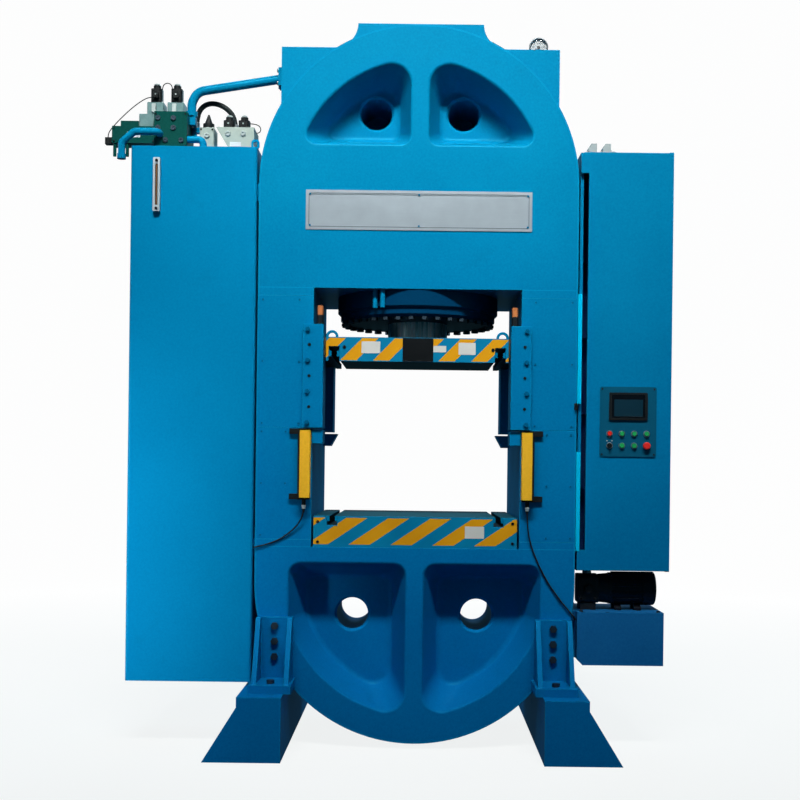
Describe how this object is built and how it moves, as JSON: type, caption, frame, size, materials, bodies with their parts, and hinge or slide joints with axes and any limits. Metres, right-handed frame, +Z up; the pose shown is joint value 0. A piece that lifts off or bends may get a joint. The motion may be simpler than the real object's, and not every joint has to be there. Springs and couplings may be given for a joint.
{
  "type": "hydraulic press",
  "caption": "Hydraulic press with a round-ended, winding-bound frame, a guided slide on a central ram, an oil tank with valves, a control cabinet and a motor-driven pump.",
  "frame": {"origin": "centre of the bolster's top face, on the press axis", "axes": "+Z up along the ram, -Y towards the operator, +X to the operator's right, towards the cabinet"},
  "size_m": [3.026, 1.58, 3.843],
  "materials": {
    "frame_paint": "glossy blue enamel",
    "tank_paint": "glossy blue enamel",
    "cabinet_paint": "satin blue enamel",
    "unit_paint": "satin blue enamel",
    "apron_paint": "orange-yellow and blue diagonal stripes",
    "table_steel": "painted sides, ground faces",
    "bolt_zinc": "zinc plated",
    "plate_aluminium": "brushed, engraved border",
    "winding_steel": "bare steel tape",
    "hard_chrome": "ground and polished",
    "guide_bronze": "machined bronze",
    "seal_polymer": "filled polymer",
    "gauge_steel": "steel case, pale dial",
    "needle_black": "matt black",
    "curtain_yellow": "yellow powder coat",
    "clamp_black": "moulded black",
    "lead_rubber": "black sheath",
    "hose_rubber": "black hose cover",
    "level_metal": "metal frame, brown glass",
    "manifold_green": "dark green",
    "valve_grey": "light grey",
    "coil_black": "black moulded coils",
    "pipe_paint": "blue enamel, bright union nuts",
    "switch_grey": "grey moulded devices on a zinc plate",
    "panel_teal": "satin dark teal",
    "screen_black": "black glass",
    "connector_grey": "grey moulding on a metal base",
    "motor_black": "black enamel",
    "fan_plastic": "black moulded",
    "pump_metal": "cast and machined",
    "button_red": "red moulding",
    "button_green": "green moulding",
    "button_black": "black moulding",
    "bowl_amber": "amber bowl on a black collar"
  },
  "bodies": {
    "press_frame": {"lower_beam": "frame_paint", "upper_beam": "frame_paint", "right_column": "frame_paint", "left_column": "frame_paint", "frame_winding": "winding_steel", "frame_covers": "frame_paint", "cover_screws": "bolt_zinc", "nameplate": "plate_aluminium", "crown_housing": "frame_paint", "pressure_gauge": "gauge_steel", "right_foot": "frame_paint", "left_foot": "frame_paint", "foot_brackets": "frame_paint", "foot_bolts": "bolt_zinc", "bolster": "table_steel", "bolster_apron": "apron_paint", "front_guides": "frame_paint", "rear_guides": "frame_paint", "guide_bolts": "bolt_zinc", "guide_stops": "frame_paint", "lubricators": "bowl_amber", "main_cylinder": "frame_paint", "gland_ring": "frame_paint", "gland_bolts": "bolt_zinc", "light_curtains": "curtain_yellow", "curtain_clamps": "clamp_black", "left_curtain_lead": "lead_rubber", "right_curtain_lead": "lead_rubber", "oil_tank": "tank_paint", "level_gauge": "level_metal", "valve_manifold": "manifold_green", "valve_blocks": "valve_grey", "valve_solenoids": "coil_black", "oil_pipes": "pipe_paint", "pressure_hose": "hose_rubber", "solenoid_leads": "lead_rubber", "cabinet_shell": "cabinet_paint", "switchgear": "switch_grey", "cabinet_connectors": "connector_grey", "pump_base": "unit_paint", "motor": "motor_black", "pump": "pump_metal"},
    "slide_group": {"slide": "table_steel", "slide_apron": "apron_paint", "slide_wear_plates": "guide_bronze", "main_ram": "hard_chrome", "piston_rings": "seal_polymer"},
    "needle_group": {"gauge_needle": "needle_black"},
    "door_group": {"cabinet_door": "cabinet_paint", "control_panel": "panel_teal", "touch_screen": "screen_black"},
    "rotor_group": {"motor_fan": "fan_plastic"},
    "stop_button_group": {"stop_button": "button_red"},
    "start_button_group": {"start_button": "button_green"},
    "up_button_group": {"up_button": "button_green"},
    "down_button_group": {"down_button": "button_green"},
    "mode_selector_group": {"mode_selector": "button_black"},
    "pump_on_button_group": {"pump_on_button": "button_green"},
    "pump_off_button_group": {"pump_off_button": "button_green"},
    "emergency_stop_group": {"emergency_stop": "button_red"}
  },
  "joints": [
    {"name": "slide_travel", "type": "slide", "parent": "press_frame", "child": "slide_group", "axis": [0, 0, -1], "range_m": [0, 0.35]},
    {"name": "gauge_needle_turn", "type": "hinge", "parent": "press_frame", "child": "needle_group", "pos_m": [0.646, -0.145, 2.575], "axis": [0, 1, 0], "range_deg": [0, 270], "stiffness_Nm_per_rad": 0.0005},
    {"name": "door_hinge", "type": "hinge", "parent": "press_frame", "child": "door_group", "pos_m": [1.326, -0.431, 0.829], "axis": [0, 0, 1], "range_deg": [0, 110]},
    {"name": "motor_spin", "type": "hinge", "parent": "press_frame", "child": "rotor_group", "pos_m": [1.259, -0.27, -0.377], "axis": [1, 0, 0], "continuous": true},
    {"name": "stop_button_press", "type": "slide", "parent": "door_group", "child": "stop_button_group", "axis": [0, 1, 0], "range_m": [0, 0.004], "stiffness_N_per_m": 1000},
    {"name": "start_button_press", "type": "slide", "parent": "door_group", "child": "start_button_group", "axis": [0, 1, 0], "range_m": [0, 0.004], "stiffness_N_per_m": 1000},
    {"name": "up_button_press", "type": "slide", "parent": "door_group", "child": "up_button_group", "axis": [0, 1, 0], "range_m": [0, 0.004], "stiffness_N_per_m": 1000},
    {"name": "down_button_press", "type": "slide", "parent": "door_group", "child": "down_button_group", "axis": [0, 1, 0], "range_m": [0, 0.004], "stiffness_N_per_m": 1000},
    {"name": "mode_selector_turn", "type": "hinge", "parent": "door_group", "child": "mode_selector_group", "pos_m": [1.0141, -0.455, 0.387], "axis": [0, 1, 0], "range_deg": [-45, 45]},
    {"name": "pump_on_button_press", "type": "slide", "parent": "door_group", "child": "pump_on_button_group", "axis": [0, 1, 0], "range_m": [0, 0.004], "stiffness_N_per_m": 1000},
    {"name": "pump_off_button_press", "type": "slide", "parent": "door_group", "child": "pump_off_button_group", "axis": [0, 1, 0], "range_m": [0, 0.004], "stiffness_N_per_m": 1000},
    {"name": "emergency_stop_press", "type": "slide", "parent": "door_group", "child": "emergency_stop_group", "axis": [0, 1, 0], "range_m": [0, 0.005]}
  ]
}
